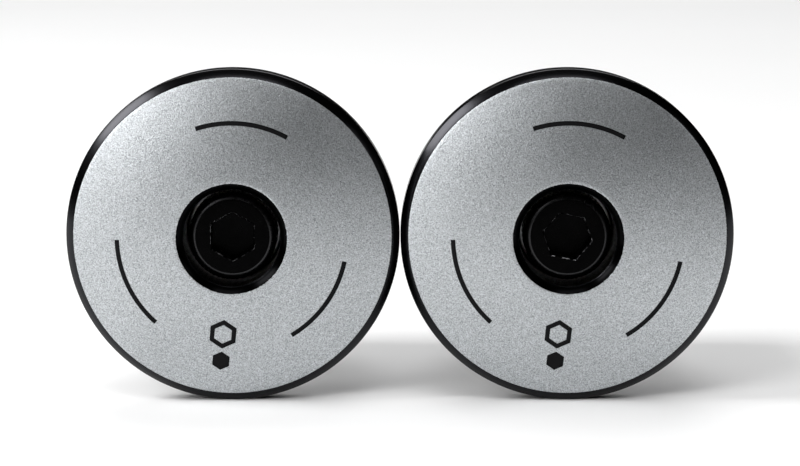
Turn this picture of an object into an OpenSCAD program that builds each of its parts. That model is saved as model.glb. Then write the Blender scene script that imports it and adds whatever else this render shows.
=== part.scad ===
// A pair of expanding end plugs for a bicycle handlebar.
//
// Each plug is a round alloy cap with a socket head bolt through its middle. Behind the cap, the bolt runs
// through a fixed front wedge, three ribbed jaws held by two rubber bands, and a rear wedge that carries a
// nut. Turning the bolt draws the rear wedge towards the cap, and both cones push the jaws outwards
// against the bore of the bar.
//
// Each plug is drawn lying on its axis, with its face towards +Z and its seat on the bar's end at z = 0,
// and is then turned so that its face looks along -Y. The origin is the middle of the left plug's seat.

/* [Cap] */
// Outer diameter of the cap
cap_d = 32; // [30:0.5:34]
// Height of the straight side wall
wall_h = 2.2; // [1.6:0.1:3]
// Bevel between the side wall and the domed face
front_bevel = 0.75; // [0.5:0.05:1]
// Bevel at the back of the side wall
rear_bevel = 0.4; // [0.3:0.1:0.6]
// Radius of the domed face
dome_r = 52; // [40:1:60]
// Diameter of the counterbore for the bolt's head
counterbore_d = 9.3; // [9.2:0.1:9.8]
// Bevel at the counterbore's mouth
mouth_bevel = 0.65; // [0.3:0.05:0.8]
// Diameter of the spigot that centres the cap in the bar
spigot_d = 17.2; // [17:0.1:17.6]
// Length of the spigot
spigot_l = 4.6; // [4.4:0.1:6]

/* [Expander] */
// Outer diameter of the jaws when they are slack
jaw_d = 16.6; // [16.4:0.1:16.8]
// Length of a jaw
jaw_l = 14.2; // [14:0.1:15]
// Width of the slots between slack jaws
slot_w = 1.6; // [1.5:0.1:2]
// Half angle of the cones
cone_angle = 25; // [25:0.5:27]
// Turns of the bolt from slack to fully spread
turns = 6; // [3:0.5:6]
// Thickness of the rubber bands' round section
band_t = 1.2; // [1:0.1:1.3]

/* [Pair] */
// Gap between the two caps, which lie side by side
cap_gap = 0.06; // [0.02:0.01:5]

/* [Hidden] */
$fn = 96;
eps = 0.01;

// M5 fasteners: socket head cap screw, small washer and hexagon nut
thread_d = 5;
thread_pitch = 0.8;
bolt_l = 30;
bolt_head_d = 8.5;
bolt_head_h = 5;
bolt_head_round = 0.9;
bolt_tip_bevel = 0.7;
socket_af = 4.05;
socket_depth = 2.6;
washer_d = 9;
washer_bore = 5.3;
washer_h = 1;
nut_af = 8;
nut_h = 4;
nut_corner_bevel = 0.5;
hole_d = 5.5;
// Angle of each bolt's hexagon socket, as the two plugs happen to lie
left_socket_turn = 30;
right_socket_turn = -11;

// Heights in the cap, up from its seat
wall_top = rear_bevel + wall_h;
dome_edge_r = cap_d / 2 - front_bevel;
dome_edge_z = wall_top + front_bevel;
dome_centre_z = dome_edge_z - sqrt(dome_r * dome_r - dome_edge_r * dome_edge_r);
mouth_r = counterbore_d / 2 + mouth_bevel;
mouth_z = dome_centre_z + sqrt(dome_r * dome_r - mouth_r * mouth_r);
// How far the bolt's head lies below the counterbore's mouth
head_sink = 1.8;
head_top = mouth_z - head_sink;
head_seat = head_top - bolt_head_h;
counterbore_floor = head_seat - washer_h;
spigot_bevel = 0.4;

// Wedges: a flange, a cone and three keys that run in the slots between the jaws
flange_d = 16;
flange_h = 1.2;
flange_bevel = 0.3;
cone_big_r = 7.2;
cone_small_r = 3.95;
cone_l = (cone_big_r - cone_small_r) / tan(cone_angle);
key_w = 1.2;
key_r = 6.6;
lug_d = 2;
lug_h = 1;
lug_r = 6.2;
lug_clearance = 0.1;
rear_body_l = 4.8;
nut_clearance = 0.1;

// Travel: the rear wedge moves travel, and the jaws move half as far along the axis and outwards by spread
travel = turns * thread_pitch;
spread = travel / 2 * tan(cone_angle);
end_gap = travel / 2 + 0.2;

// Places along the axis, down from the seat, with the jaws slack
front_flange_z = -spigot_l - flange_h;
jaw_front_z = front_flange_z - end_gap;
jaw_rear_z = jaw_front_z - jaw_l;
jaw_middle_z = (jaw_front_z + jaw_rear_z) / 2;
rear_flange_z = jaw_rear_z - end_gap;
rear_end_z = rear_flange_z - rear_body_l;
band_offset = 3.6;
band_sink = 0.05;
band_r = jaw_d / 2 - band_t / 2 - band_sink;

// Jaws: angles of their middles, and their shape
jaw_angles = [90, -30, -150];
key_angles = [30, 150, 270];
jaw_bore_r = 4.3;
jaw_bevel = 0.5;
cone_clearance = 0.06;
rib_pitch = 1.1;
rib_groove = 0.25;

// Places each plug's own frame in the pair's frame
module at_left() {
    rotate([90, 0, 0]) children();
}
module at_right() {
    translate([cap_d + cap_gap, 0, 0]) rotate([90, 0, 0]) children();
}

// A closed cone of the wedges' angle that starts at radius r and narrows upwards over height h
module narrowing_cone(r, h) {
    cylinder(r1 = r, r2 = r - h * tan(cone_angle), h = h);
}

module cap() {
    color([0.62, 0.64, 0.66]) difference() {
        union() {
            intersection() {
                translate([0, 0, dome_centre_z]) sphere(r = dome_r);
                rotate_extrude() polygon([
                    [0, 0], [cap_d / 2 - rear_bevel, 0], [cap_d / 2, rear_bevel], [cap_d / 2, wall_top],
                    [dome_edge_r - 3, dome_edge_z + 3], [0, dome_edge_z + 3]
                ]);
            }
            rotate_extrude() polygon([
                [0, eps], [spigot_d / 2, eps], [spigot_d / 2, -spigot_l + spigot_bevel],
                [spigot_d / 2 - spigot_bevel, -spigot_l], [0, -spigot_l]
            ]);
        }
        // The bolt's clearance hole and counterbore, with its bevelled mouth
        translate([0, 0, -spigot_l - 1]) cylinder(d = hole_d, h = cap_d);
        translate([0, 0, counterbore_floor]) cylinder(d = counterbore_d, h = cap_d);
        translate([0, 0, mouth_z - mouth_bevel])
            cylinder(r1 = counterbore_d / 2, r2 = counterbore_d / 2 + 3, h = 3);
        // Two blind holes for the front wedge's lugs
        for (side = [-1, 1]) translate([side * lug_r, 0, -spigot_l - 1])
            cylinder(d = lug_d + 2 * lug_clearance, h = 1 + lug_h + lug_clearance);
    }
}

module bolt(socket_turn) {
    color([0.10, 0.10, 0.11]) difference() {
        union() {
            // The head, with a full round on its top edge
            translate([0, 0, head_seat]) rotate_extrude() union() {
                square([bolt_head_d / 2, bolt_head_h - bolt_head_round]);
                square([bolt_head_d / 2 - bolt_head_round, bolt_head_h]);
                intersection() {
                    translate([bolt_head_d / 2 - bolt_head_round, bolt_head_h - bolt_head_round])
                        circle(r = bolt_head_round);
                    square([bolt_head_d / 2, bolt_head_h]);
                }
            }
            // The shank, with a bevelled tip
            translate([0, 0, head_seat - bolt_l]) rotate_extrude() polygon([
                [0, 0], [thread_d / 2 - bolt_tip_bevel, 0], [thread_d / 2, bolt_tip_bevel],
                [thread_d / 2, bolt_l + eps], [0, bolt_l + eps]
            ]);
        }
        rotate([0, 0, socket_turn]) translate([0, 0, head_top - socket_depth])
            cylinder(r = socket_af / sqrt(3), h = socket_depth + 1, $fn = 6);
        // The drill's point under the socket
        translate([0, 0, head_top - socket_depth - 0.8])
            cylinder(r1 = 0.2, r2 = socket_af / 2 - 0.1, h = 0.8 + eps);
    }
}

module washer() {
    color([0.72, 0.73, 0.75]) rotate_extrude() translate([0, counterbore_floor]) polygon([
        [washer_bore / 2, 0], [washer_d / 2 - 0.15, 0], [washer_d / 2, 0.15],
        [washer_d / 2, washer_h - 0.15], [washer_d / 2 - 0.15, washer_h], [washer_bore / 2, washer_h]
    ]);
}

// Cone and keys of a wedge, standing on z = 0 and narrowing upwards
module wedge_nose() {
    narrowing_cone(cone_big_r, cone_l);
    for (angle = key_angles) rotate([0, 0, angle])
        translate([0, -key_w / 2, -eps]) cube([key_r, key_w, cone_l + eps]);
}

module front_wedge() {
    color([0.17, 0.17, 0.18]) difference() {
        translate([0, 0, front_flange_z]) union() {
            rotate_extrude() polygon([
                [0, 0], [flange_d / 2 - flange_bevel, 0], [flange_d / 2, flange_bevel],
                [flange_d / 2, flange_h], [0, flange_h]
            ]);
            mirror([0, 0, 1]) translate([0, 0, -eps]) wedge_nose();
            for (side = [-1, 1]) translate([side * lug_r, 0, flange_h - eps])
                cylinder(d = lug_d, h = lug_h + eps);
        }
        translate([0, 0, front_flange_z - cone_l - 1]) cylinder(d = hole_d, h = cone_l + flange_h + 3);
    }
}

module rear_wedge() {
    color([0.17, 0.17, 0.18]) difference() {
        translate([0, 0, rear_end_z]) union() {
            rotate_extrude() polygon([
                [0, 0], [flange_d / 2 - 1, 0], [flange_d / 2, 1], [flange_d / 2, rear_body_l - flange_bevel],
                [flange_d / 2 - flange_bevel, rear_body_l], [0, rear_body_l]
            ]);
            translate([0, 0, rear_body_l - eps]) wedge_nose();
        }
        translate([0, 0, rear_end_z - 1]) cylinder(d = hole_d, h = cone_l + rear_body_l + 3);
        // The nut's pocket, open to the rear
        translate([0, 0, rear_end_z - 1])
            cylinder(r = nut_af / sqrt(3) + nut_clearance, h = 1 + nut_h + 0.2, $fn = 6);
    }
}

module nut() {
    nut_z = rear_end_z + 0.2;
    color([0.78, 0.78, 0.76]) difference() {
        intersection() {
            translate([0, 0, nut_z]) cylinder(r = nut_af / sqrt(3), h = nut_h, $fn = 6);
            // Rounds off the corners at both faces
            rotate_extrude() translate([0, nut_z]) polygon([
                [0, 0], [nut_af / 2, 0], [nut_af / 2 + 1, nut_corner_bevel],
                [nut_af / 2 + 1, nut_h - nut_corner_bevel], [nut_af / 2, nut_h], [0, nut_h]
            ]);
        }
        translate([0, 0, nut_z - 1]) cylinder(d = thread_d + 0.04, h = nut_h + 2);
    }
}

// What the jaws' hollow has to clear once they are spread: both cones, and the bore between them
module jaw_hollow() {
    spread_front_z = jaw_front_z + travel / 2;
    spread_rear_z = jaw_rear_z + travel / 2;
    mouth = cone_big_r + cone_clearance - 0.2 * tan(cone_angle);
    hollow_l = (mouth - cone_small_r) / tan(cone_angle);
    translate([0, 0, spread_rear_z - 1]) cylinder(r = jaw_bore_r, h = jaw_l + 2);
    translate([0, 0, spread_rear_z]) narrowing_cone(mouth, hollow_l);
    translate([0, 0, spread_front_z]) mirror([0, 0, 1]) narrowing_cone(mouth, hollow_l);
    // Opens both ends past the jaws' faces
    translate([0, 0, spread_rear_z - 1]) cylinder(r = mouth, h = 1 + eps);
    translate([0, 0, spread_front_z - eps]) cylinder(r = mouth, h = 1 + eps);
}

// Groove for a band, and the V-grooves that leave ribs on the jaws
module band_groove(z) {
    rotate_extrude() translate([band_r, z]) {
        circle(d = band_t + 0.1);
        translate([0, -(band_t + 0.1) / 2]) square([2, band_t + 0.1]);
    }
}
module rib_grooves(z, count) {
    for (i = [0 : count - 1]) rotate_extrude() translate([jaw_d / 2, z + i * rib_pitch])
        polygon([[-rib_groove, 0], [0.1, -rib_groove - 0.1], [0.1, rib_groove + 0.1]]);
}

module jaw(angle) {
    color([0.13, 0.13, 0.14]) difference() {
        intersection() {
            rotate_extrude() polygon([
                [0, jaw_rear_z], [jaw_d / 2 - jaw_bevel, jaw_rear_z], [jaw_d / 2, jaw_rear_z + jaw_bevel],
                [jaw_d / 2, jaw_front_z - jaw_bevel], [jaw_d / 2 - jaw_bevel, jaw_front_z], [0, jaw_front_z]
            ]);
            // A third of the ring, less half a slot on each side
            rotate([0, 0, angle]) translate([slot_w / 2 / sin(60), 0, jaw_rear_z - 1])
                linear_extrude(height = jaw_l + 2)
                polygon([
                    [0, 0], [jaw_d * cos(60), jaw_d * sin(60)], [2 * jaw_d, 0],
                    [jaw_d * cos(60), -jaw_d * sin(60)]
                ]);
        }
        rotate([0, 0, angle]) translate([-spread, 0, -travel / 2]) jaw_hollow();
        for (side = [-1, 1]) band_groove(jaw_middle_z + side * band_offset);
        rib_grooves(jaw_middle_z - 1.5 * rib_pitch, 4);
        rib_grooves(jaw_middle_z + band_offset + 1.3, 2);
        rib_grooves(jaw_middle_z - band_offset - 1.3 - rib_pitch, 2);
    }
}

module band(side) {
    color([0.22, 0.22, 0.23]) rotate_extrude()
        translate([band_r, jaw_middle_z + side * band_offset]) circle(d = band_t);
}

at_left() cap();  // left_cap
at_left() bolt(left_socket_turn);  // left_bolt
at_left() washer();  // left_washer
at_left() front_wedge();  // left_front_wedge
at_left() jaw(jaw_angles[0]);  // left_jaw_top
at_left() jaw(jaw_angles[1]);  // left_jaw_inner
at_left() jaw(jaw_angles[2]);  // left_jaw_outer
at_left() band(1);  // left_front_band
at_left() band(-1);  // left_rear_band
at_left() rear_wedge();  // left_rear_wedge
at_left() nut();  // left_nut
at_right() cap();  // right_cap
at_right() bolt(right_socket_turn);  // right_bolt
at_right() washer();  // right_washer
at_right() front_wedge();  // right_front_wedge
at_right() jaw(jaw_angles[0]);  // right_jaw_top
at_right() jaw(jaw_angles[2]);  // right_jaw_inner
at_right() jaw(jaw_angles[1]);  // right_jaw_outer
at_right() band(1);  // right_front_band
at_right() band(-1);  // right_rear_band
at_right() rear_wedge();  // right_rear_wedge
at_right() nut();  // right_nut
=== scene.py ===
"""Looks for a pair of expanding handlebar end plugs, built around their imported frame.

A plug's pieces are turned, cut and moulded on the bench. There the plug's axis is Z, its face looks up, and
its seat against the bar's end is at height 0. A finished piece is laid down with its face along -Y, once
for the left plug and once for the right.
"""

import math

import bmesh
import bpy
from mathutils import Matrix, Vector


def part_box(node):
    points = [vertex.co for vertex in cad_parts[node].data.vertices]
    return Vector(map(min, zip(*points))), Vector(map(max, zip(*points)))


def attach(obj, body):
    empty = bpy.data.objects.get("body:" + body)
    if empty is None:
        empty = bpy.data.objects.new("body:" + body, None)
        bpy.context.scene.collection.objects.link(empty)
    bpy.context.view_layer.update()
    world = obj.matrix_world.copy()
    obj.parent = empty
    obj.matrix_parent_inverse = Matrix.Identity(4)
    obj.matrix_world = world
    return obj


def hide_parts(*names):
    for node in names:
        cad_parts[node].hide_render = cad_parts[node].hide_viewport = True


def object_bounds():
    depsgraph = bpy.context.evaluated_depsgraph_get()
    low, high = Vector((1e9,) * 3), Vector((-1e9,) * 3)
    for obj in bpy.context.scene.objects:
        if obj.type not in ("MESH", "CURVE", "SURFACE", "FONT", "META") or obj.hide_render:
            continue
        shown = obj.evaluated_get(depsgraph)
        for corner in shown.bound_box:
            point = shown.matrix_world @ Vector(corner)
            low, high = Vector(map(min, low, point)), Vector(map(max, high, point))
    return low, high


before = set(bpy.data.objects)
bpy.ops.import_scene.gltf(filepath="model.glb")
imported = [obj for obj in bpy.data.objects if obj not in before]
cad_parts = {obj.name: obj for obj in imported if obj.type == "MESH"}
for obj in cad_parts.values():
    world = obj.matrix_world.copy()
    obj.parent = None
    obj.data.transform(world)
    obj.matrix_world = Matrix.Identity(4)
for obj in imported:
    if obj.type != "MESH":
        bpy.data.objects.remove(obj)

bl_info = {
    "name": "Handlebar End Plugs",
    "version": (1, 0, 0),
    "blender": (4, 5, 0),
    "location": "View3D > Sidebar > End Plugs",
    "description": "Models the pieces, finishes and stage of a pair of expanding handlebar end plugs",
    "category": "Object",
}

MM = 0.001
FULL_TURN = 2 * math.pi
SIDES = ("left", "right")
CAD_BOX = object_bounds()

# Facets round a turned piece, and the gap under which two corners are one
TURNED_STEPS = 192
SEAM = 0.5e-6
# Edges that turn by less than this are shaded as one curve
SMOOTH_ANGLE = math.radians(30)


class Extent:
    """What a CAD node measures on the bench: its axis, its radius, and its lowest and highest places."""

    def __init__(self, node):
        low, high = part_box(node)
        self.axis = (low.x + high.x) / 2
        self.radius = (high.x - low.x) / 2
        self.bottom, self.top = -high.y, -low.y
        self.middle = (self.bottom + self.top) / 2


CAP = Extent("left_cap")
BOLT = Extent("left_bolt")
WASHER = Extent("left_washer")
FRONT_WEDGE = Extent("left_front_wedge")
REAR_WEDGE = Extent("left_rear_wedge")
NUT = Extent("left_nut")
JAW = Extent("left_jaw_top")
BANDS = {name: Extent(f"left_{name}") for name in ("front_band", "rear_band")}
# The top jaw's crest is its highest place, so that is the jaws' radius
JAW_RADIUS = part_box("left_jaw_top")[1].z
PLUG_AXIS = {side: Extent(f"{side}_cap").axis for side in SIDES}
# Angle of each jaw's middle, anticlockwise from the bench's X axis; the right plug's inner jaw points left
JAW_ANGLE = {
    "left": {"top": 90, "inner": -30, "outer": -150},
    "right": {"top": 90, "inner": -150, "outer": -30},
}


def length(name, description, default):
    """A size that the user may change, given in millimetres and kept in metres."""
    return bpy.props.FloatProperty(
        name=name, description=description, default=default * MM, min=0, precision=5, unit="LENGTH"
    )


def colour(name, description, default):
    return bpy.props.FloatVectorProperty(
        name=name, description=description, default=default, min=0, max=1, subtype="COLOR"
    )


def angle(name, description, default):
    return bpy.props.FloatProperty(
        name=name, description=description, default=math.radians(default), subtype="ANGLE"
    )


class EndPlugCapSettings(bpy.types.PropertyGroup):
    dome_radius: length("Dome radius", "Radius of the face's curve", 52)
    rim_bevel: length("Rim bevel", "Bevel between the face and the side wall", 0.75)
    rear_bevel: length("Rear bevel", "Bevel at the back of the side wall", 0.4)
    mouth_bevel: length("Mouth bevel", "Bevel at the counterbore's mouth", 0.65)
    counterbore_radius: length("Counterbore radius", "Radius of the recess for the bolt's head", 4.65)
    hole_radius: length("Hole radius", "Radius of the bolt's clearance hole", 2.75)
    spigot_radius: length("Spigot radius", "Radius of the spigot that enters the bar", 8.6)
    spigot_bevel: length("Spigot bevel", "Bevel at the spigot's end", 0.4)
    edge: length("Edge rounding", "How far the turned edges are broken", 0.09)
    lug_hole_radius: length("Lug hole radius", "Radius of the two blind holes for the wedge's lugs", 1.1)
    lug_hole_depth: length("Lug hole depth", "Depth of the two blind holes", 1.1)
    arc_radius: length("Arc radius", "Radius of the three black arcs", 10.97)
    arc_width: length("Arc width", "Width of the three black arcs", 0.44)
    arc_span: angle("Arc span", "How far each arc reaches round", 47)
    arc_turn: angle("Arc turn", "How far the print is turned clockwise from upright", 5.5)
    print_height: length("Print height", "How far the black print stands above the silver", 0.008)
    sign_width: length("Sign width", "Width of the open hexagon at the bottom of the face", 2.5)
    sign_gap: length("Sign gap", "Gap between the sign's two hexagons", 0.3)
    sign_radius: length("Sign radius", "Distance of the sign's middle from the axis", 10.9)
    silver: colour("Silver", "Blasted alloy", (0.455, 0.475, 0.49))
    black: colour("Black", "Print on the silver", (0.003, 0.003, 0.0035))
    gloss: colour("Gloss", "What the black anodising reflects", (0.021, 0.021, 0.023))


class EndPlugBoltSettings(bpy.types.PropertyGroup):
    head_radius: length("Head radius", "Radius of the bolt's head", 4.25)
    head_height: length("Head height", "Height of the bolt's head", 5)
    head_round: length("Head rounding", "Rounding of the head's top edge", 0.8)
    knurls: bpy.props.IntProperty(name="Knurls", description="Knurls round the head", default=56, min=12)
    knurl_depth: length("Knurl depth", "Depth of the knurls round the head", 0.09)
    socket_width: length("Socket width", "Hexagon socket across its flats", 4.05)
    socket_depth: length("Socket depth", "Depth of the hexagon socket", 2.6)
    socket_round: length("Socket rounding", "Rounding at the socket's mouth", 0.16)
    left_turn: angle("Left turn", "How far the left socket is turned, anticlockwise", 30)
    right_turn: angle("Right turn", "How far the right socket is turned, anticlockwise", -11)
    thread_radius: length("Thread radius", "Outer radius of the thread", 2.49)
    root_radius: length("Root radius", "Radius at the bottom of the thread", 2.03)
    thread_pitch: length("Thread pitch", "Travel in one turn", 0.8)
    thread_length: length("Thread length", "Length of the threaded part, from the tip", 22)
    tip_bevel: length("Tip bevel", "Bevel at the bolt's tip", 0.7)
    washer_bore: length("Washer bore", "Radius of the washer's hole", 2.65)
    nut_width: length("Nut width", "Nut across its flats", 8)
    nut_bevel: length("Nut bevel", "Bevel at the nut's corners", 0.4)
    gloss: colour("Gloss", "What the bolt's black oxide reflects", (0.026, 0.026, 0.027))
    zinc: colour("Zinc", "Plating on the nut and the washer", (0.60, 0.61, 0.63))


class EndPlugExpanderSettings(bpy.types.PropertyGroup):
    flange_radius: length("Flange radius", "Radius of both wedges' flanges", 8)
    flange_height: length("Flange height", "Thickness of the front wedge's flange", 1.2)
    body_height: length("Body height", "Length of the rear wedge behind its cone", 4.8)
    cone_radius: length("Cone radius", "Radius of the cones at their wide ends", 7.2)
    cone_tip_radius: length("Cone tip radius", "Radius of the cones at their narrow ends", 3.95)
    cone_angle: angle("Cone angle", "Half angle of the cones", 25)
    key_width: length("Key width", "Width of the keys between the jaws", 1.2)
    key_radius: length("Key radius", "How far the keys reach from the axis", 6.6)
    lug_radius: length("Lug radius", "Radius of the front wedge's lugs", 1)
    lug_height: length("Lug height", "Height of the front wedge's lugs", 1)
    lug_offset: length("Lug offset", "Distance of each lug from the axis", 6.2)
    slot: length("Slot", "Width of the slots between slack jaws", 1.6)
    travel: length("Travel", "How far the rear wedge is drawn in", 4.8)
    end_gap: length("End gap", "Gap between fully spread jaws and the wedges", 0.2)
    jaw_bore: length("Jaw bore", "Radius of the bore between the spread jaws", 4.3)
    cone_clearance: length("Cone clearance", "Clearance between the jaws and the cones", 0.06)
    rib_pitch: length("Rib pitch", "Distance between the jaws' ribs", 1.1)
    rib_depth: length("Rib depth", "Depth of the grooves between the ribs", 0.25)
    jaw_bevel: length("Jaw bevel", "Bevel at both ends of a jaw", 0.5)
    band_groove: length("Band groove", "Width of the grooves that hold the bands", 1.3)
    band_depth: length("Band depth", "Depth of the grooves that hold the bands", 1.3)
    bolt_hole: length("Bolt hole", "Radius of the bolt's hole through the wedges", 2.75)
    pocket_clearance: length("Pocket clearance", "Clearance round the nut in its pocket", 0.1)
    edge: length("Edge rounding", "Rounding that the mould leaves on the edges", 0.12)
    nylon: colour("Nylon", "Moulded wedges and jaws", (0.022, 0.022, 0.024))
    rubber: colour("Rubber", "Bands", (0.012, 0.012, 0.012))


class EndPlugStageSettings(bpy.types.PropertyGroup):
    floor: colour("Floor", "Pale floor", (0.95, 0.95, 0.95))
    camera_distance: length("Camera distance", "From the camera to the pair", 297)
    aim_height: bpy.props.FloatProperty(
        name="Aim height", description="Height of the camera's aim over the plugs' axes",
        default=-0.14 * MM, precision=5, unit="LENGTH",
    )
    camera_elevation: angle("Camera elevation", "Height of the camera above the plugs' axes", 7.8)
    camera_lens: bpy.props.FloatProperty(
        name="Lens", description="Focal length of the camera, in millimetres", default=138.1, min=10
    )


# ---- Bench work: the operators that shape a piece ----


def select_only(piece):
    bpy.ops.object.select_all(action="DESELECT")
    piece.select_set(True)
    bpy.context.view_layer.objects.active = piece


def edit(piece):
    """Takes one piece into edit mode, with the whole of it selected."""
    select_only(piece)
    bpy.ops.object.mode_set(mode="EDIT")
    bpy.ops.mesh.select_all(action="SELECT")


def leave():
    bpy.ops.object.mode_set(mode="OBJECT")


def pick_corners(places):
    """In edit mode, selects only the vertices that lie at some places."""
    bpy.ops.mesh.select_mode(type="VERT")
    bpy.ops.mesh.select_all(action="DESELECT")
    mesh = bpy.context.edit_object.data
    shape = bmesh.from_edit_mesh(mesh)
    for vertex in shape.verts:
        if any((vertex.co - place).length < SEAM for place in places):
            vertex.select_set(True)
    shape.select_flush_mode()
    bmesh.update_edit_mesh(mesh)


def name_piece(name):
    piece = bpy.context.object
    piece.name = piece.data.name = name
    return piece


def draw_outline(name, corners, closed=True):
    """Draws an outline in the XZ plane from its (x, z, rounding) corners, and stays in edit mode.

    A corner without a rounding stays sharp. A closed outline is filled.
    """
    places = [Vector((corner[0], 0, corner[1])) for corner in corners]
    bpy.ops.object.select_all(action="DESELECT")
    bpy.ops.mesh.primitive_plane_add(size=MM)
    piece = name_piece(name)
    edit(piece)
    bpy.ops.mesh.merge(type="CENTER")
    bpy.ops.transform.translate(value=places[0])
    for start, end in zip(places, places[1:]):
        bpy.ops.mesh.extrude_vertices_move(TRANSFORM_OT_translate={"value": end - start})
    if closed:
        pick_corners((places[0], places[-1]))
        bpy.ops.mesh.edge_face_add()
    for rounding in sorted({corner[2] for corner in corners if len(corner) > 2}):
        pick_corners([place for place, corner in zip(places, corners) if corner[2:] == (rounding,)])
        segments = 2 + int(rounding / (0.1 * MM))
        bpy.ops.mesh.bevel(offset=rounding, segments=segments, affect="VERTICES", clamp_overlap=True)
    bpy.ops.mesh.select_all(action="SELECT")
    if closed:
        bpy.ops.mesh.edge_face_add()
    return piece


def close_seams():
    """In edit mode, merges the doubles of the whole piece and points its faces outwards."""
    bpy.ops.mesh.select_mode(type="VERT")
    bpy.ops.mesh.select_all(action="SELECT")
    bpy.ops.mesh.remove_doubles(threshold=SEAM)
    bpy.ops.mesh.dissolve_degenerate(threshold=SEAM / 5)
    bpy.ops.mesh.normals_make_consistent(inside=False)


def turn(name, corners, closed=True, steps=TURNED_STEPS):
    """Turns a piece on the lathe from half its section. An open section starts and ends on the axis."""
    piece = draw_outline(name, corners, closed)
    if closed:
        bpy.ops.mesh.delete(type="ONLY_FACE")
        bpy.ops.mesh.select_all(action="SELECT")
    bpy.ops.mesh.spin(steps=steps, angle=FULL_TURN, center=(0, 0, 0), axis=(0, 0, 1))
    close_seams()
    leave()
    return piece


def turn_part(name, corners, first, last, steps):
    """Turns part of a ring, from one angle anticlockwise to another, and closes both its ends."""
    piece = draw_outline(name, corners)
    bpy.ops.mesh.spin(steps=steps, angle=first - last, center=(0, 0, 0), axis=(0, 0, 1))
    close_seams()
    leave()
    move(piece, Matrix.Rotation(first, 4, "Z"))
    return piece


def saw(name, corners, bottom, top):
    """Saws a plate along its (x, y, rounding) outline. Its faces lie at two heights."""
    piece = draw_outline(name, corners)
    bpy.ops.mesh.extrude_region_move(TRANSFORM_OT_translate={"value": (0, bottom - top, 0)})
    close_seams()
    leave()
    move(piece, Matrix.Translation((0, 0, bottom)) @ Matrix.Rotation(-math.pi / 2, 4, "X"))
    return piece


def saw_round(name, count, radii, bottom, top, turned=0.0, place=(0, 0)):
    """Saws a plate with corners all round it, which lie at each of some radii in turn."""
    corners = []
    for index in range(count * len(radii)):
        angle = turned + index * FULL_TURN / (count * len(radii))
        radius = radii[index % len(radii)]
        corners.append((place[0] + radius * math.cos(angle), place[1] + radius * math.sin(angle)))
    return saw(name, corners, bottom, top)


def finish_with(piece, kind, **settings):
    """Adds a modifier to a piece and applies it."""
    select_only(piece)
    bpy.ops.object.modifier_add(type=kind)
    modifier = piece.modifiers[-1]
    for setting, value in settings.items():
        setattr(modifier, setting, value)
    bpy.ops.object.modifier_apply(modifier=modifier.name)


def combine(piece, tool, operation):
    """Joins a piece with a tool, cuts it with one or keeps what both share. The tool is used up."""
    finish_with(piece, "BOOLEAN", operation=operation, solver="EXACT", object=tool)
    bpy.data.objects.remove(tool)
    if not piece.data.polygons:
        raise RuntimeError(f"nothing is left of {piece.name} after the {operation.lower()}")
    edit(piece)
    close_seams()
    leave()


def copy_of(piece, name):
    """A copy of a piece with a mesh of its own."""
    select_only(piece)
    bpy.ops.object.duplicate(linked=False)
    return name_piece(name)


def move(piece, matrix):
    """Moves a piece and leaves its object at the origin."""
    select_only(piece)
    piece.matrix_world = matrix
    bpy.ops.object.transform_apply(location=True, rotation=True, scale=True)


def turned_to(angle):
    return Matrix.Rotation(angle, 4, "Z")


def deliver(piece, side, name, body, finish, node=None):
    """Shades a finished bench piece, lays it down in its plug, and puts it on its body."""
    piece.name = piece.data.name = f"{side}_{name}"
    move(piece, Matrix.Translation((PLUG_AXIS[side], 0, 0)) @ Matrix.Rotation(math.pi / 2, 4, "X"))
    bpy.ops.object.shade_smooth_by_angle(angle=SMOOTH_ANGLE)
    finish_with(piece, "WEIGHTED_NORMAL", keep_sharp=True)
    slot, material = finish
    piece.data.materials.clear()
    piece.data.materials.append(material)
    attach(piece, f"{side}_{body}")
    if node:
        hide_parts(f"{side}_{node}")
    return piece


def deliver_pair(piece, name, *details, **more):
    """Delivers a bench piece to the left plug, and a copy of it to the right one."""
    twin = copy_of(piece, "twin")
    deliver(piece, "left", name, *details, **more)
    deliver(twin, "right", name, *details, **more)


# ---- Finishes ----


class Value:
    """A number that varies over a surface. Sums written with it add the Math nodes that work them out."""

    def __init__(self, finish, socket):
        self.finish = finish
        self.socket = socket

    def maths(self, operation, *others, first=False):
        terms = (*others, self) if first else (self, *others)
        inputs = dict(enumerate(terms))
        return self.finish.node("ShaderNodeMath", {"operation": operation}, inputs)

    def __add__(self, other):
        return self.maths("ADD", other)

    def __sub__(self, other):
        return self.maths("SUBTRACT", other)

    def __rsub__(self, other):
        return self.maths("SUBTRACT", other, first=True)

    def __mul__(self, other):
        return self.maths("MULTIPLY", other)

    def __truediv__(self, other):
        return self.maths("DIVIDE", other)

    def __gt__(self, other):
        return self.maths("GREATER_THAN", other)

    def __lt__(self, other):
        return self.maths("LESS_THAN", other)

    __radd__ = __add__
    __rmul__ = __mul__

    def clamped(self):
        return self.maths("MAXIMUM", 0.0).maths("MINIMUM", 1.0)


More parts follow.
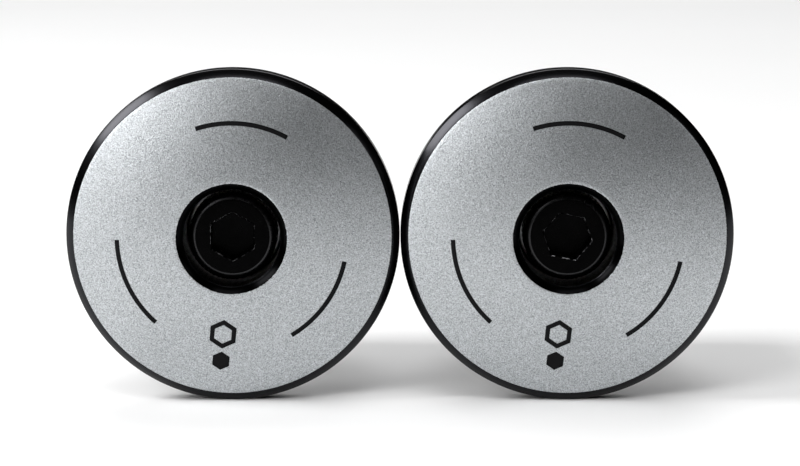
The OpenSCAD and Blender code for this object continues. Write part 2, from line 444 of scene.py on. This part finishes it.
class Finish:
    """A material being made: its shader, and the nodes that feed it."""

    def __init__(self, name, **sockets):
        self.material = bpy.data.materials.new(name)
        self.material.use_nodes = True
        self.tree = self.material.node_tree
        self.shader = self.tree.nodes["Principled BSDF"]
        for socket, value in sockets.items():
            self.shader.inputs[socket.replace("_", " ")].default_value = value
        self.place = self.node("ShaderNodeTexCoord", output="Object")

    def node(self, kind, settings=None, inputs=None, output=0):
        """Adds a node with its settings, then the values or links of its sockets."""
        node = self.tree.nodes.new(kind)
        for setting, value in (settings or {}).items():
            setattr(node, setting, value)
        for socket, value in (inputs or {}).items():
            if isinstance(value, Value):
                self.tree.links.new(value.socket, node.inputs[socket])
            else:
                node.inputs[socket].default_value = value
        return Value(self, node.outputs[output])

    def feed(self, **sockets):
        """Links values to the shader's own sockets."""
        for socket, value in sockets.items():
            self.tree.links.new(value.socket, self.shader.inputs[socket.replace("_", " ")])

    def noise(self, grain, detail=2.0, stretch=None):
        """Noise with spots of a given size, which may be stretched along an axis."""
        place = self.place
        if stretch:
            place = self.node("ShaderNodeMapping", None, {"Vector": place, "Scale": stretch})
        settings = {"noise_dimensions": "3D"}
        return self.node(
            "ShaderNodeTexNoise", settings, {"Vector": place, "Scale": 1 / grain, "Detail": detail}, "Fac"
        )

    def mix(self, factor, first, second):
        """A colour between two colours."""
        return self.node(
            "ShaderNodeMix", {"data_type": "RGBA"}, {0: factor, 6: first, 7: second}, 2
        )

    def bump(self, height, depth, strength=1.0):
        """A normal bent by a height that goes from 0 to 1 over a depth."""
        return self.node("ShaderNodeBump", None, {"Strength": strength, "Distance": depth, "Height": height})

    def from_axis(self):
        """Radius from the nearer plug's axis."""
        across, up = (self.node("ShaderNodeSeparateXYZ", None, {0: self.place}, axis) for axis in "XZ")
        spacing = PLUG_AXIS["right"] - PLUG_AXIS["left"]
        across = across - (across > spacing / 2) * spacing
        return (across * across + up * up).maths("SQRT")

    def height(self):
        """Height on the bench, which is towards the plug's face."""
        return 0.0 - self.node("ShaderNodeSeparateXYZ", None, {0: self.place}, "Y")


def opaque(rgb, scale=1.0):
    return (*(channel * scale for channel in rgb), 1.0)


def cap_finish(size):
    """Glossy black anodising over the whole cap, blasted down to bright silver on its dome. The counterbore's
    black is painted darker as painted shade, and a thin ring at its top corner is painted bright as a painted
    highlight.
    """
    finish = Finish("blasted_alloy_cap", Metallic=1.0)
    grain = finish.noise(0.14 * MM, detail=1.0)
    fine = finish.noise(0.09 * MM, detail=0.0)
    patches = finish.noise(6 * MM, detail=2.0)
    # The blasting's grain leaves a slightly ragged edge
    radius = finish.from_axis() + (grain - 0.5) * (0.09 * MM)
    rim = CAP.radius - size.rim_bevel
    mouth = size.counterbore_radius + size.mouth_bevel
    face = dome_height(size, rim) - size.edge
    silver = (radius < rim - 0.02 * MM) * (radius > mouth) * (finish.height() > face)
    recess = finish.from_axis() < mouth
    corner = (finish.from_axis() - size.counterbore_radius).maths("ABSOLUTE") < 0.07 * MM
    # A thin ring at the counterbore's top corner is painted brighter: a painted highlight line
    painted_corner_highlight = recess * corner * (finish.height() > CAP.top - size.mouth_bevel - 0.2 * MM)
    pits = ((finish.noise(0.13 * MM, detail=0.0) - 0.66) * 9.0).clamped()
    speckle = (grain - 0.5) * 1.5 + (fine - 0.5) * 1.2 + (patches - 0.5) * 0.15 - pits * 0.4
    bright = finish.mix((speckle + 0.5).clamped(), opaque(size.silver, 0.62), opaque(size.silver, 1.38))
    # Inside the counterbore the black is painted darker: painted shade in the recess
    black = finish.mix(recess, opaque(size.gloss), opaque(size.gloss, 0.12))
    black = finish.mix(painted_corner_highlight, black, opaque(size.gloss, 5.0))
    finish.feed(
        Base_Color=finish.mix(silver, black, bright),
        Roughness=silver * (0.17 + (patches - 0.5) * 0.05) + 0.22,
        Normal=finish.bump(silver * (grain * 0.6 + fine * 0.4) + fine * 0.03, 0.03 * MM),
    )
    return finish.material


def print_finish(size):
    """The black left standing on the silver: matt, and as grainy as the blasting beside it."""
    finish = Finish("black_print", Specular_IOR_Level=0.1)
    grain = finish.noise(0.12 * MM)
    finish.feed(
        Base_Color=finish.mix(grain, opaque(size.black, 0.7), opaque(size.black, 1.6)),
        Roughness=grain * 0.12 + 0.42,
        Normal=finish.bump(grain, 0.01 * MM),
    )
    return finish.material


def bolt_finish(size):
    """Black oxide on forged steel, with its head's rounding painted brighter than its flats as a painted
    highlight ring, and nicks at the socket's mouth painted bright, partly wear and partly painted highlight.
    """
    finish = Finish("black_oxide_bolt", Metallic=1.0)
    patches = finish.noise(0.8 * MM, detail=4.0)
    nicks_and_glints = ((finish.noise(0.5 * MM, detail=2.0) - 0.46) * 8.0).clamped()
    radius, height = finish.from_axis(), finish.height()
    below = height < BOLT.top - 0.01 * MM
    rounding = (radius > size.head_radius - size.head_round) * below
    mouth = (radius < size.head_radius - size.head_round) * (height > BOLT.top - size.socket_round) * below
    black = finish.mix(patches, opaque(size.gloss, 0.05), opaque(size.gloss, 0.12))
    # The head's rounding is painted brighter than the flats: a painted highlight ring
    black = finish.mix(rounding, black, opaque(size.gloss, 1.3))
    black = finish.mix(height < BOLT.top - size.head_height, black, opaque(size.gloss, 2.5))
    finish.feed(
        # Bright nicks round the socket's mouth: worn plating, painted bright enough to also stand for a painted
        # highlight along the hexagon's edges
        Base_Color=finish.mix(mouth * nicks_and_glints, black, opaque(size.gloss, 14.0)),
        Roughness=patches * 0.12 + 0.2,
        Normal=finish.bump(finish.noise(0.06 * MM), 0.006 * MM),
    )
    return finish.material


def zinc_finish(name, size, rings):
    """Zinc plating: rings from turning or stamping, and a faintly clouded sheen."""
    finish = Finish(name, Metallic=1.0)
    clouds = finish.noise(1.5 * MM, detail=4.0)
    wave = ((finish.from_axis() * (FULL_TURN / rings)).maths("SINE") + 1.0) * 0.5
    finish.feed(
        Base_Color=finish.mix(clouds, opaque(size.zinc, 0.8), opaque(size.zinc, 1.15)),
        Roughness=clouds * 0.2 + 0.22,
        Normal=finish.bump(wave * 0.6 + finish.noise(0.05 * MM) * 0.4, 0.006 * MM),
    )
    return finish.material


def nylon_finish(name, size, roughness):
    """Glass-filled nylon out of a spark-eroded mould: dark, with a fine even grain and pale flecks."""
    finish = Finish(name, Specular_IOR_Level=0.45)
    grain = finish.noise(0.11 * MM, detail=3.0)
    flow = finish.noise(1.2 * MM, detail=3.0, stretch=(1.0, 0.25, 1.0))
    flecks = (finish.noise(0.25 * MM, detail=1.0, stretch=(1.0, 0.3, 1.0)) - 0.62).clamped() * 2.0
    finish.feed(
        Base_Color=finish.mix(
            (flow * 0.5 + flecks + grain * 0.2).clamped(), opaque(size.nylon, 0.75), opaque(size.nylon, 1.9)
        ),
        Roughness=grain * 0.18 + roughness,
        Normal=finish.bump(grain * 0.8 + flow * 0.2, 0.012 * MM),
    )
    return finish.material


def rubber_finish(size):
    """Moulded rubber with a dusty bloom."""
    finish = Finish("rubber_band", Specular_IOR_Level=0.35)
    bloom = finish.noise(0.9 * MM, detail=4.0)
    grain = finish.noise(0.05 * MM)
    finish.feed(
        Base_Color=finish.mix(bloom, opaque(size.rubber), opaque(size.rubber, 2.4)),
        Roughness=bloom * 0.2 + 0.55,
        Normal=finish.bump(grain, 0.004 * MM),
    )
    return finish.material


def floor_finish(size):
    finish = Finish("pale_floor", Roughness=0.9)
    clouds = finish.noise(90 * MM)
    finish.feed(Base_Color=finish.mix(clouds, opaque(size.floor, 0.985), opaque(size.floor, 1.0)))
    return finish.material


# ---- Pieces ----


def dome_height(size, radius):
    """Height of the cap's face at a radius; its highest ring is the counterbore's mouth."""
    mouth = size.counterbore_radius + size.mouth_bevel
    centre = CAP.top - math.sqrt(size.dome_radius**2 - mouth**2)
    return centre + math.sqrt(size.dome_radius**2 - radius**2)


class MESH_OT_end_plug_caps(bpy.types.Operator):
    """Turn both caps and print their faces"""

    bl_idname = "mesh.end_plug_caps"
    bl_label = "Caps"

    def execute(self, context):
        size = context.scene.end_plug_cap
        lug_offset = context.scene.end_plug_expander.lug_offset
        slot = "blasted_alloy_cap"
        black = print_finish(size)
        deliver_pair(self.cap(size, lug_offset), "cap_shell", "plug", (slot, cap_finish(size)), node="cap")
        deliver_pair(self.arcs(size), "arcs", "plug", (slot, black))
        deliver_pair(self.sign(size), "hex_key_sign", "plug", (slot, black))
        return {"FINISHED"}

    def cap(self, size, lug_offset):
        edge = size.edge
        rim = CAP.radius - size.rim_bevel
        mouth = size.counterbore_radius + size.mouth_bevel
        rings = 30
        dome = [rim + (mouth - rim) * ring / rings for ring in range(1, rings)]
        cap = turn("cap", [
            (size.hole_radius, CAP.bottom, edge),
            (size.spigot_radius - size.spigot_bevel, CAP.bottom, edge),
            (size.spigot_radius, CAP.bottom + size.spigot_bevel, edge),
            (size.spigot_radius, 0, edge),
            (CAP.radius - size.rear_bevel, 0, edge),
            (CAP.radius, size.rear_bevel, edge),
            (CAP.radius, dome_height(size, rim) - size.rim_bevel, edge),
            (rim, dome_height(size, rim), edge),
            *((radius, dome_height(size, radius)) for radius in dome),
            (mouth, CAP.top, edge / 2),
            (size.counterbore_radius, CAP.top - size.mouth_bevel, edge / 2),
            (size.counterbore_radius, WASHER.bottom, edge),
            (size.hole_radius, WASHER.bottom, edge),
        ])
        for direction in (-1, 1):
            drill = saw_round(
                "drill", 48, (size.lug_hole_radius,), CAP.bottom - MM, CAP.bottom + size.lug_hole_depth,
                place=(direction * lug_offset, 0),
            )
            combine(cap, drill, "DIFFERENCE")
        return cap

    def arcs(self, size):
        """Three thin arcs that lie on the dome as a coating does, sunk a little into it."""
        corners = [
            (size.arc_radius + side * size.arc_width / 2, lift)
            for side, lift in ((-1, -3), (1, -3), (1, 1), (-1, 1))
        ]
        corners = [(radius, dome_height(size, radius) + lift * size.print_height) for radius, lift in corners]
        middle = math.pi / 2 - size.arc_turn
        arcs = None
        for index in range(3):
            here = middle + index * FULL_TURN / 3
            arc = turn_part("arcs", corners, here - size.arc_span / 2, here + size.arc_span / 2, 47)
            if arcs:
                combine(arcs, arc, "UNION")
            arcs = arcs or arc
        return arcs

    def sign(self, size):
        """An open hexagon over a filled one, a socket and its key, which says what opens the plug."""
        low, high, slope = 0, CAP.top, math.cos(math.radians(30))
        socket = size.sign_width / 2 / slope
        key = socket - size.arc_width / slope
        places = (0, size.sign_gap / 2 + socket), (0, -size.sign_gap / 2 - key)
        sign = saw_round("sign", 6, (socket,), low, high, math.radians(30), places[0])
        hole = saw_round("hole", 6, (key,), low - MM, high + MM, math.radians(30), places[0])
        combine(sign, hole, "DIFFERENCE")
        combine(sign, saw_round("key", 6, (key,), low, high, math.radians(30), places[1]), "UNION")
        # Set upright across from the top arc, then cut down to a thin layer on the dome
        move(sign, turned_to(-size.arc_turn) @ Matrix.Translation((0, -size.sign_radius, 0)))
        rings = [size.sign_radius + 1.5 * size.sign_width * step / 12 for step in range(-12, 13)]
        combine(sign, turn("layer", [
            *((ring, dome_height(size, ring) - 3 * size.print_height) for ring in rings),
            *((ring, dome_height(size, ring) + size.print_height) for ring in reversed(rings)),
        ]), "INTERSECT")
        return sign


def thread(size, clearance=0.0):
    """A right-hand thread's ridge, from under the bolt's tip to the end of its thread."""
    root, crest = size.root_radius - 0.1 * MM, size.thread_radius + clearance
    base, flat = size.thread_pitch * 0.46, size.thread_pitch * 0.07
    start = BOLT.bottom - size.thread_pitch / 2
    ridge = draw_outline("thread", [
        (root, start - base), (crest, start - flat), (crest, start + flat), (root, start + base)
    ])
    bpy.ops.mesh.delete(type="ONLY_FACE")
    leave()
    finish_with(
        ridge, "SCREW", axis="Z", angle=FULL_TURN, screw_offset=size.thread_pitch,
        iterations=int(size.thread_length / size.thread_pitch) + 1, steps=32, render_steps=32,
        use_merge_vertices=False,
    )
    edit(ridge)
    bpy.ops.mesh.fill_holes(sides=4)
    close_seams()
    leave()
    return ridge


class MESH_OT_end_plug_fasteners(bpy.types.Operator):
    """Forge the bolts, stamp the washers and tap the nuts"""

    bl_idname = "mesh.end_plug_fasteners"
    bl_label = "Bolts, washers and nuts"

    def execute(self, context):
        size = context.scene.end_plug_bolt
        black = ("black_oxide_bolt", bolt_finish(size))
        left = self.bolt(size)
        right = copy_of(left, "right")
        for bolt, side, turned in ((left, "left", size.left_turn), (right, "right", size.right_turn)):
            self.cut_socket(bolt, size, turned)
            deliver(bolt, side, "screw", "screw", black, node="bolt")
        washer = turn("washer", [
            (size.washer_bore, WASHER.bottom, 0.06 * MM), (WASHER.radius, WASHER.bottom, 0.06 * MM),
            (WASHER.radius, WASHER.top, 0.2 * MM), (size.washer_bore, WASHER.top, 0.2 * MM),
        ])
        deliver_pair(washer, "small_washer", "plug",
                     ("zinc_washer", zinc_finish("zinc_washer", size, 0.12 * MM)), node="washer")
        deliver_pair(self.nut(size), "hex_nut", "draw_wedge",
                     ("zinc_nut", zinc_finish("zinc_nut", size, 0.21 * MM)), node="nut")
        return {"FINISHED"}

    def bolt(self, size):
        seat, thread_top = BOLT.top - size.head_height, BOLT.bottom + size.thread_length
        shank = size.thread_radius
        # The blank, whose shank is the thread's root below the plain part
        bolt = turn("bolt", [
            (0, BOLT.bottom),
            (shank - size.tip_bevel, BOLT.bottom),
            (size.root_radius, BOLT.bottom + size.tip_bevel - shank + size.root_radius),
            (size.root_radius, thread_top),
            (shank, thread_top + shank - size.root_radius),
            (shank, seat, 0.2 * MM),
            (size.head_radius - 0.15 * MM, seat),
            (size.head_radius, seat + 0.15 * MM),
            (size.head_radius, BOLT.top, size.head_round),
            (0, BOLT.top),
        ], closed=False, steps=128)
        knurls = saw_round(
            "knurls", size.knurls, (size.head_radius, size.head_radius - size.knurl_depth),
            BOLT.bottom - MM, BOLT.top + MM,
        )
        combine(bolt, knurls, "INTERSECT")
        ridge = thread(size)
        combine(ridge, turn("tip", [
            (0, BOLT.bottom),
            (shank - size.tip_bevel - 0.05 * MM, BOLT.bottom),
            (shank + 0.1 * MM, BOLT.bottom + size.tip_bevel + 0.15 * MM),
            (shank + 0.1 * MM, thread_top + 0.2 * MM),
            (0, thread_top + 0.2 * MM),
        ], closed=False, steps=64), "INTERSECT")
        combine(bolt, ridge, "UNION")
        return bolt

    def cut_socket(self, bolt, size, turned):
        """Punches the hexagon over a drilled hole, and rounds the hexagon's mouth."""
        flat, rounding = size.socket_width / 2, size.socket_round
        corner = flat / math.cos(math.radians(30))
        drill = flat - 0.1 * MM
        floor = BOLT.top - size.socket_depth
        combine(bolt, turn("drill", [
            (0, floor - 0.8 * MM), (drill, floor), (drill, BOLT.top + MM), (0, BOLT.top + MM),
        ], closed=False, steps=96), "DIFFERENCE")
        combine(bolt, saw_round("punch", 6, (corner,), floor, BOLT.top + MM, turned), "DIFFERENCE")
        mouth = turn("mouth", [
            (0, BOLT.top - 1.5 * rounding),
            (corner - 0.1 * rounding, BOLT.top - 1.5 * rounding),
            (corner + 0.02 * rounding, BOLT.top - 0.8 * rounding),
            (corner + 0.3 * rounding, BOLT.top - 0.3 * rounding),
            (corner + 0.8 * rounding, BOLT.top + 0.02 * rounding),
            (corner + 0.8 * rounding, BOLT.top + MM),
            (0, BOLT.top + MM),
        ], closed=False, steps=6)
        move(mouth, turned_to(turned))
        combine(bolt, mouth, "DIFFERENCE")

    def nut(self, size):
        """A hexagon with bevelled corners, tapped with the bolt's own thread and a little clearance."""
        flat, bevel = size.nut_width / 2, size.nut_bevel
        nut = saw_round("nut", 6, (flat / math.cos(math.radians(30)),), NUT.bottom, NUT.top)
        combine(nut, turn("bevels", [
            (0, NUT.bottom), (flat - 0.1 * MM, NUT.bottom), (flat + 2 * bevel, NUT.bottom + bevel * 1.2),
            (flat + 2 * bevel, NUT.top - bevel * 1.2), (flat - 0.1 * MM, NUT.top), (0, NUT.top),
        ], closed=False, steps=96), "INTERSECT")
        clearance = 0.03 * MM
        bore, mouth = size.root_radius + clearance, size.thread_radius + 0.15 * MM
        countersink = mouth - bore
        combine(nut, turn("drill", [
            (0, NUT.bottom - MM), (mouth, NUT.bottom - MM), (mouth, NUT.bottom),
            (bore, NUT.bottom + countersink),
            (bore, NUT.top - countersink), (mouth, NUT.top), (mouth, NUT.top + MM), (0, NUT.top + MM),
        ], closed=False, steps=64), "DIFFERENCE")
        combine(nut, thread(size, clearance), "DIFFERENCE")
        return nut


class MESH_OT_end_plug_wedges(bpy.types.Operator):
    """Mould the fixed wedges behind the caps and the wedges that the bolts draw in"""

    bl_idname = "mesh.end_plug_wedges"
    bl_label = "Wedges"

    def execute(self, context):
        size = context.scene.end_plug_expander
        nut_width = context.scene.end_plug_bolt.nut_width
        nylon = ("black_nylon_wedge", nylon_finish("black_nylon_wedge", size, 0.38))
        deliver_pair(self.front(size), "fixed_cone", "plug", nylon, node="front_wedge")
        deliver_pair(self.rear(size, nut_width), "drawn_cone", "draw_wedge", nylon, node="rear_wedge")
        return {"FINISHED"}

    def wedge(self, name, size, body):
        """A cone with three keys on its flange's face at height 0, with its body's corners below."""
        cone = (size.cone_radius - size.cone_tip_radius) / math.tan(size.cone_angle)
        edge = size.edge
        wedge = turn(name, [
            (0, body[0][1]), *body, (size.flange_radius, 0, edge), (size.cone_radius, 0, edge),
            (size.cone_tip_radius, cone, edge), (0, cone),
        ], closed=False)
        for angle in (30, 150, 270):
            half = size.key_width / 2
            key = saw("key", [
                (0, -half), (size.key_radius, -half, edge), (size.key_radius, half, edge), (0, half)
            ], -0.1 * MM, cone - 0.002 * MM)
            move(key, turned_to(math.radians(angle)))
            combine(wedge, key, "UNION")
        return wedge

    def front(self, size):
        wedge = self.wedge("front", size, [(size.flange_radius, -size.flange_height, size.edge)])
        for direction in (-1, 1):
            lug = turn("lug", [
                (0, -size.flange_height - size.lug_height),
                (size.lug_radius, -size.flange_height - size.lug_height, 0.2 * MM),
                (size.lug_radius, -0.1 * MM),
                (0, -0.1 * MM),
            ], closed=False, steps=40)
            move(lug, Matrix.Translation((direction * size.lug_offset, 0, 0)))
            combine(wedge, lug, "UNION")
        combine(wedge, saw_round("drill", 96, (size.bolt_hole,), -10 * MM, 10 * MM), "DIFFERENCE")
        flange_face = FRONT_WEDGE.top - size.lug_height - size.flange_height
        move(wedge, Matrix.Translation((0, 0, flange_face)) @ Matrix.Rotation(math.pi, 4, "Y"))
        return wedge

    def rear(self, size, nut_width):
        wedge = self.wedge("rear", size, [
            (size.flange_radius - 1 * MM, -size.body_height, size.edge),
            (size.flange_radius, 1 * MM - size.body_height, size.edge),
        ])
        combine(wedge, saw_round("drill", 96, (size.bolt_hole,), -10 * MM, 10 * MM), "DIFFERENCE")
        corner = nut_width / 2 / math.cos(math.radians(30)) + size.pocket_clearance
        floor = REAR_WEDGE.bottom + size.body_height
        depth = NUT.top - floor
        pocket = saw_round("pocket", 6, (corner,), -10 * MM, depth)
        combine(wedge, pocket, "DIFFERENCE")
        # Round marks of the mould's ejector pins
        for index in range(3):
            angle = math.radians(90 + 120 * index)
            place = [6.1 * MM * math.cos(angle), 6.1 * MM * math.sin(angle)]
            pin = saw_round("pin", 32, (0.75 * MM,), -10 * MM, 0.06 * MM - size.body_height, place=place)
            combine(wedge, pin, "DIFFERENCE")
        move(wedge, Matrix.Translation((0, 0, floor)))
        return wedge


class MESH_OT_end_plug_jaws(bpy.types.Operator):
    """Mould a ribbed jaw, and set three of it round each bolt"""

    bl_idname = "mesh.end_plug_jaws"
    bl_label = "Jaws"

    def execute(self, context):
        size = context.scene.end_plug_expander
        nylon = ("black_nylon_jaw", nylon_finish("black_nylon_jaw", size, 0.45))
        jaw = self.jaw(size)
        for side in SIDES:
            for place, angle in JAW_ANGLE[side].items():
                copy = copy_of(jaw, "jaw")
                move(copy, turned_to(math.radians(angle)))
                deliver(copy, side, f"{place}_jaw", f"{place}_shoe", nylon, node=f"jaw_{place}")
        bpy.data.objects.remove(jaw)
        return {"FINISHED"}

    def jaw(self, size):
        """A jaw whose middle points along X."""
        soft = 0.05 * MM
        grooves = []
        for band in BANDS.values():
            half = size.band_groove / 2
            grooves.append((band.middle, [
                (JAW_RADIUS, -half, soft), (JAW_RADIUS - size.band_depth, -half, half * 0.98),
                (JAW_RADIUS - size.band_depth, half, half * 0.98), (JAW_RADIUS, half, soft),
            ]))
        ribs = [-1.5, -0.5, 0.5, 1.5]
        outer = abs(BANDS["front_band"].middle - JAW.middle) + 1.3 * MM
        heights = [rib * size.rib_pitch for rib in ribs]
        heights += [side * (outer + step * size.rib_pitch) for side in (-1, 1) for step in (0, 1)]
        deep = size.rib_depth
        for height in heights:
            grooves.append((JAW.middle + height, [
                (JAW_RADIUS, -deep, soft), (JAW_RADIUS - deep, 0, soft), (JAW_RADIUS, deep, soft)
            ]))
        corners = [
            (radius, middle + z, round_) for middle, groove in sorted(grooves) for radius, z, round_ in groove
        ]
        bevel, edge = size.jaw_bevel, size.edge
        jaw = turn_part("jaw", [
            (1.5 * MM, JAW.bottom), (JAW_RADIUS - bevel, JAW.bottom, edge),
            (JAW_RADIUS, JAW.bottom + bevel, edge),
            *corners,
            (JAW_RADIUS, JAW.top - bevel, edge), (JAW_RADIUS - bevel, JAW.top, edge), (1.5 * MM, JAW.top),
        ], math.radians(-62), math.radians(62), 72)
        apex = size.slot / 2 / math.sin(math.radians(60))
        reach = 3 * JAW_RADIUS
        out, across = reach * math.cos(math.radians(60)), reach * math.sin(math.radians(60))
        combine(jaw, saw("third", [
            (apex, 0), (apex + out, -across), (apex + 2 * reach, 0), (apex + out, across),
        ], JAW.bottom - MM, JAW.top + MM), "INTERSECT")
        mouth = size.cone_radius + size.cone_clearance - size.end_gap * math.tan(size.cone_angle)
        throat = (mouth - size.jaw_bore) / math.tan(size.cone_angle)
        hollow = turn("hollow", [
            (0, JAW.bottom - MM), (mouth, JAW.bottom - MM), (mouth, JAW.bottom),
            (size.jaw_bore, JAW.bottom + throat), (size.jaw_bore, JAW.top - throat),
            (mouth, JAW.top), (mouth, JAW.top + MM), (0, JAW.top + MM),
        ], closed=False)
        # The hollow fits the cones when the jaws are spread, so it is off centre while they are slack
        move(hollow, Matrix.Translation((-size.travel / 2 * math.tan(size.cone_angle), 0, 0)))
        combine(jaw, hollow, "DIFFERENCE")
        return jaw


# Corners round a band's section
BAND_CORNERS = 20


class MESH_OT_end_plug_bands(bpy.types.Operator):
    """Mould the rubber bands in thirds that part as the jaws spread"""

    bl_idname = "mesh.end_plug_bands"
    bl_label = "Bands"

    def execute(self, context):
        size = context.scene.end_plug_expander
        rubber = ("rubber_band", rubber_finish(size))
        for name, band in BANDS.items():
            third = self.third(size, band)
            for side in SIDES:
                for place, angle in JAW_ANGLE[side].items():
                    copy = copy_of(third, "third")
                    move(copy, turned_to(math.radians(angle)))
                    deliver(copy, side, f"{name}_{place}", f"{place}_shoe", rubber, node=name)
            bpy.data.objects.remove(third)
        return {"FINISHED"}

    def third(self, size, band):
        """A third of a band, with thinner tails that hide in its neighbours until the jaws spread."""
        radius = (band.top - band.bottom) / 2
        ring = band.radius - radius
        third = None
        for section, reach, steps in ((radius, 60, 40), (radius * 0.95, 68.5, 46)):
            turns = [FULL_TURN * step / BAND_CORNERS for step in range(BAND_CORNERS)]
            corners = [
                (ring + section * math.cos(turned), band.middle + section * math.sin(turned)) for turned in turns
            ]
            part = turn_part("band", corners, math.radians(-reach), math.radians(reach), steps)
            if third:
                combine(third, part, "UNION")
            third = third or part
        return third


# The studio's softboxes: where each hangs round the pair, its width in metres and its power in watts
SOFTBOXES = {
    "behind": {"bearing": 180, "height": 50, "distance": 1.3, "width": 1, "power": 10},
    "high in front": {"bearing": 0, "height": 62, "distance": 1.2, "width": 0.7, "power": 4.2},
    "upper left": {"bearing": 35, "height": 30, "distance": 0.9, "width": 0.4, "power": 2.2},
    "left": {"bearing": 50, "height": 15, "distance": 0.9, "width": 0.4, "power": 1.5},
    "far left": {"bearing": 88, "height": 40, "distance": 0.7, "width": 0.3, "power": 3.8},
    "right": {"bearing": -62, "height": 28, "distance": 0.9, "width": 0.3, "power": 0.6},
}


class MESH_OT_end_plug_stage(bpy.types.Operator):
    """Lay the floor, hang the lights and set up the camera"""

    bl_idname = "mesh.end_plug_stage"
    bl_label = "Stage"

    def execute(self, context):
        size = context.scene.end_plug_stage
        low, high = CAD_BOX
        aim = Vector(((low.x + high.x) / 2, 0, size.aim_height))
        bpy.ops.object.select_all(action="DESELECT")
        bpy.ops.mesh.primitive_plane_add(size=6, location=(aim.x, 0, low.z))
        floor = name_piece("floor")
        floor.data.materials.append(floor_finish(size))
        back = Vector((0, -math.cos(size.camera_elevation), math.sin(size.camera_elevation)))
        bpy.ops.object.camera_add(location=aim + back * size.camera_distance)
        camera = bpy.context.object
        camera.rotation_euler = (-back).to_track_quat("-Z", "Y").to_euler()
        camera.data.lens = size.camera_lens
        camera.data.clip_start = 10 * MM
        context.scene.camera = camera
        self.paint_world(context.scene)
        for softbox in SOFTBOXES.values():
            self.hang(aim, **softbox)
        context.scene.view_settings.view_transform = "Standard"
        return {"FINISHED"}

    def paint_world(self, scene):
        """White behind the floor's far edge, which lights nothing."""
        world = scene.world = bpy.data.worlds.new("studio")
        world.use_nodes = True
        nodes, links = world.node_tree.nodes, world.node_tree.links
        seen = nodes.new("ShaderNodeLightPath").outputs["Is Camera Ray"]
        background = nodes["Background"]
        background.inputs["Color"].default_value = (1, 1, 1, 1)
        links.new(seen, background.inputs["Strength"])

    def hang(self, aim, bearing, height, distance, width, power):
        """Hangs a square softbox at a bearing to the left of the camera and a height, both in degrees."""
        bearing, height = math.radians(bearing), math.radians(height)
        outwards = Vector((
            -math.sin(bearing) * math.cos(height), -math.cos(bearing) * math.cos(height), math.sin(height)
        ))
        bpy.ops.object.light_add(
            type="AREA", location=aim + outwards * distance,
            rotation=outwards.to_track_quat("Z", "Y").to_euler(),
        )
        light = bpy.context.object.data
        light.size = width
        light.energy = power


SETTINGS = {
    "end_plug_cap": EndPlugCapSettings,
    "end_plug_bolt": EndPlugBoltSettings,
    "end_plug_expander": EndPlugExpanderSettings,
    "end_plug_stage": EndPlugStageSettings,
}
OPERATORS = (
    MESH_OT_end_plug_caps,
    MESH_OT_end_plug_fasteners,
    MESH_OT_end_plug_wedges,
    MESH_OT_end_plug_jaws,
    MESH_OT_end_plug_bands,
    MESH_OT_end_plug_stage,
)


class VIEW3D_PT_end_plugs(bpy.types.Panel):
    bl_idname = "VIEW3D_PT_end_plugs"
    bl_label = "End Plugs"
    bl_space_type = "VIEW_3D"
    bl_region_type = "UI"
    bl_category = "End Plugs"

    def draw(self, context):
        for operator in OPERATORS:
            self.layout.operator(operator.bl_idname)
        for name, group in SETTINGS.items():
            box = self.layout.box()
            for setting in group.__annotations__:
                box.prop(getattr(context.scene, name), setting)


def register():
    for name, group in SETTINGS.items():
        bpy.utils.register_class(group)
        setattr(bpy.types.Scene, name, bpy.props.PointerProperty(type=group))
    for operator in OPERATORS:
        bpy.utils.register_class(operator)
    bpy.utils.register_class(VIEW3D_PT_end_plugs)


def unregister():
    bpy.utils.unregister_class(VIEW3D_PT_end_plugs)
    for operator in reversed(OPERATORS):
        bpy.utils.unregister_class(operator)
    for name, group in reversed(SETTINGS.items()):
        delattr(bpy.types.Scene, name)
        bpy.utils.unregister_class(group)


def main():
    register()
    for operator in OPERATORS:
        group, name = operator.bl_idname.split(".")
        getattr(getattr(bpy.ops, group), name)()


if __name__ == "__main__":
    main()
